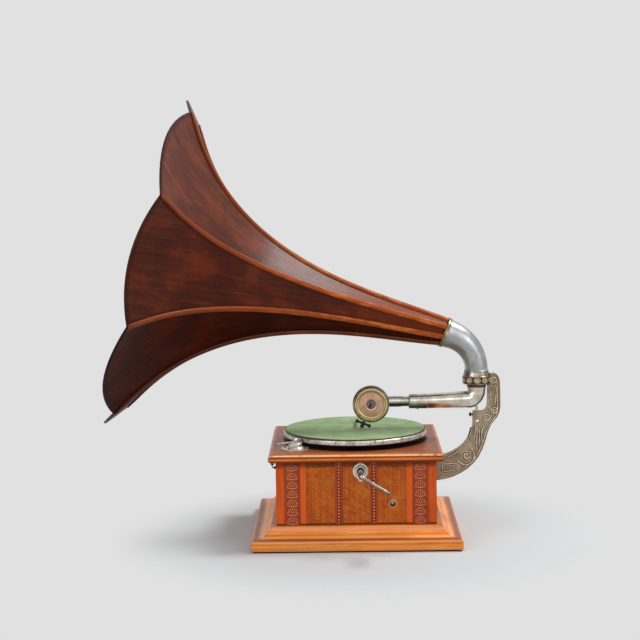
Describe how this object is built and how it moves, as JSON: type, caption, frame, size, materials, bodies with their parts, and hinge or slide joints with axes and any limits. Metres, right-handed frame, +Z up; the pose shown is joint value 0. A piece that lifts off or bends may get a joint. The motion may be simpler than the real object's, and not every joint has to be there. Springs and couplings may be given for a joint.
{
  "type": "horn gramophone",
  "caption": "Table gramophone with a square moulded oak case, felt turntable, nickel tonearm and soundbox, cast back bracket and a flared wooden petal horn.",
  "frame": {"origin": "middle of the underside of the felt sheet the base stands on, under the record spindle", "axes": "+Z up along the record spindle; -Y the front with the crank; -X the way the horn points at rest"},
  "size_m": [0.7031, 0.587, 0.7681],
  "materials": {
    "oak": "satin varnish",
    "carving": "stained satin varnish",
    "mahogany": "polished",
    "rib_wood": "polished",
    "handle_wood": "polished",
    "felt_under": "dense felt",
    "green_felt": "short pile",
    "brake_leather": "matt",
    "nickel": "polished nickel plate",
    "steel": "bare",
    "blackened_steel": "blackened",
    "brass": "polished",
    "copper_plate": "satin coppered",
    "cast_iron": "antique bronze",
    "rubber": "matt",
    "mica": "translucent"
  },
  "bodies": {
    "base": {"base_felt": "felt_under", "base_slab": "oak", "base_cove": "oak", "case_front": "oak", "case_back": "oak", "case_left": "oak", "case_right": "oak", "case_carving": "carving", "case_beads": "carving", "motor_board": "oak", "lid_moulding": "oak", "hook_eyes": "blackened_steel", "escutcheon": "nickel", "small_screws": "steel", "dial_plate": "nickel", "back_bracket": "cast_iron", "bracket_screws": "steel", "horn_collar": "cast_iron", "pivot_pin": "steel", "motor_frame": "steel"},
    "turntable": {"turntable": "nickel", "turntable_felt": "green_felt", "spindle": "steel", "spindle_gears": "brass"},
    "transfer": {"transfer_wheel": "brass"},
    "barrel": {"spring_barrel": "brass", "mainspring": "steel"},
    "arbor": {"barrel_arbor": "steel"},
    "governor": {"governor": "steel"},
    "crank": {"crank": "nickel", "winding_shaft": "steel"},
    "crank_handle": {"crank_knob": "handle_wood"},
    "speed_dial": {"speed_knob": "nickel"},
    "governor_lever": {"governor_lever": "brass"},
    "brake": {"brake_lever": "nickel", "brake_pad": "brake_leather"},
    "tonearm": {"tonearm_tube": "nickel", "tonearm_sleeve": "nickel"},
    "soundbox": {"soundbox_neck": "nickel", "soundbox_gasket": "rubber", "soundbox_shell": "nickel", "soundbox_ring": "brass", "soundbox_face": "copper_plate", "diaphragm": "mica", "stylus_bar": "blackened_steel", "needle": "steel"},
    "needle_screw": {"needle_screw": "blackened_steel"},
    "horn": {"horn_elbow": "nickel", "elbow_ferrule": "brass", "horn_ribs": "rib_wood", "horn_petal_1": "mahogany", "horn_petal_2": "mahogany", "horn_petal_3": "mahogany", "horn_petal_4": "mahogany", "horn_petal_5": "mahogany", "horn_petal_6": "mahogany", "horn_petal_7": "mahogany", "horn_petal_8": "mahogany"},
    "hook": {"lid_hook": "blackened_steel"},
    "clamp_screw": {"clamp_screw": "blackened_steel"}
  },
  "joints": [
    {"name": "turntable_spin", "type": "hinge", "parent": "base", "child": "turntable", "pos_m": [0, 0, 0.165], "axis": [0, 0, 1], "continuous": true},
    {"name": "transfer_spin", "type": "hinge", "parent": "base", "child": "transfer", "pos_m": [-0.02886, -0.02667, 0.1], "axis": [0, 0, 1], "continuous": true},
    {"name": "barrel_spin", "type": "hinge", "parent": "base", "child": "barrel", "pos_m": [0.0075, -0.067, 0.083], "axis": [0, 0, 1], "continuous": true},
    {"name": "governor_spin", "type": "hinge", "parent": "base", "child": "governor", "pos_m": [0, 0.0253, 0.081], "axis": [1, 0, 0], "continuous": true},
    {"name": "crank_turn", "type": "hinge", "parent": "base", "child": "crank", "pos_m": [0.0075, -0.15, 0.1325], "axis": [0, 1, 0], "continuous": true},
    {"name": "arbor_turn", "type": "hinge", "parent": "base", "child": "arbor", "pos_m": [0.0075, -0.067, 0.11], "axis": [0, 0, 1], "continuous": true},
    {"name": "handle_spin", "type": "hinge", "parent": "crank", "child": "crank_handle", "pos_m": [0.05895, -0.23, 0.09972], "axis": [0, 1, 0], "continuous": true},
    {"name": "speed_turn", "type": "hinge", "parent": "base", "child": "speed_dial", "pos_m": [-0.1045, -0.097, 0.172], "axis": [0, 0, 1], "range_deg": [0, 90]},
    {"name": "governor_lever_swing", "type": "hinge", "parent": "base", "child": "governor_lever", "pos_m": [-0.084, -0.02, 0.08], "axis": [0, 0, 1], "range_deg": [0, 1.3]},
    {"name": "brake_swing", "type": "hinge", "parent": "base", "child": "brake", "pos_m": [-0.1045, -0.097, 0.178], "axis": [0, 0, 1], "range_deg": [0, 25]},
    {"name": "tonearm_swing", "type": "hinge", "parent": "base", "child": "tonearm", "pos_m": [0.217, 0, 0.24], "axis": [0, 0, 1], "range_deg": [-3, 80]},
    {"name": "soundbox_roll", "type": "hinge", "parent": "tonearm", "child": "soundbox", "pos_m": [0.1, 0, 0.231], "axis": [-1, 0, 0], "range_deg": [0, 100]},
    {"name": "needle_screw_turn", "type": "hinge", "parent": "soundbox", "child": "needle_screw", "pos_m": [0.01258, -0.034, 0.19326], "axis": [0, -1, 0], "continuous": true},
    {"name": "horn_swivel", "type": "hinge", "parent": "base", "child": "horn", "pos_m": [0.217, 0, 0.28], "axis": [0, 0, 1], "range_deg": [-180, 180]},
    {"name": "hook_swing", "type": "hinge", "parent": "base", "child": "hook", "pos_m": [-0.1435, -0.1305, 0.1444], "axis": [-1, 0, 0], "range_deg": [0, 90]},
    {"name": "clamp_screw_turn", "type": "hinge", "parent": "base", "child": "clamp_screw", "pos_m": [0.208, 0, 0.206], "axis": [-1, 0, 0], "continuous": true}
  ],
  "couplings": [
    {"joint": "transfer_spin", "follows": "turntable_spin", "ratio": -0.3},
    {"joint": "barrel_spin", "follows": "turntable_spin", "ratio": 0.06},
    {"joint": "governor_spin", "follows": "turntable_spin", "ratio": 20},
    {"joint": "arbor_turn", "follows": "crank_turn", "ratio": -0.33333},
    {"joint": "governor_lever_swing", "follows": "speed_turn", "ratio": 0.013333}
  ]
}
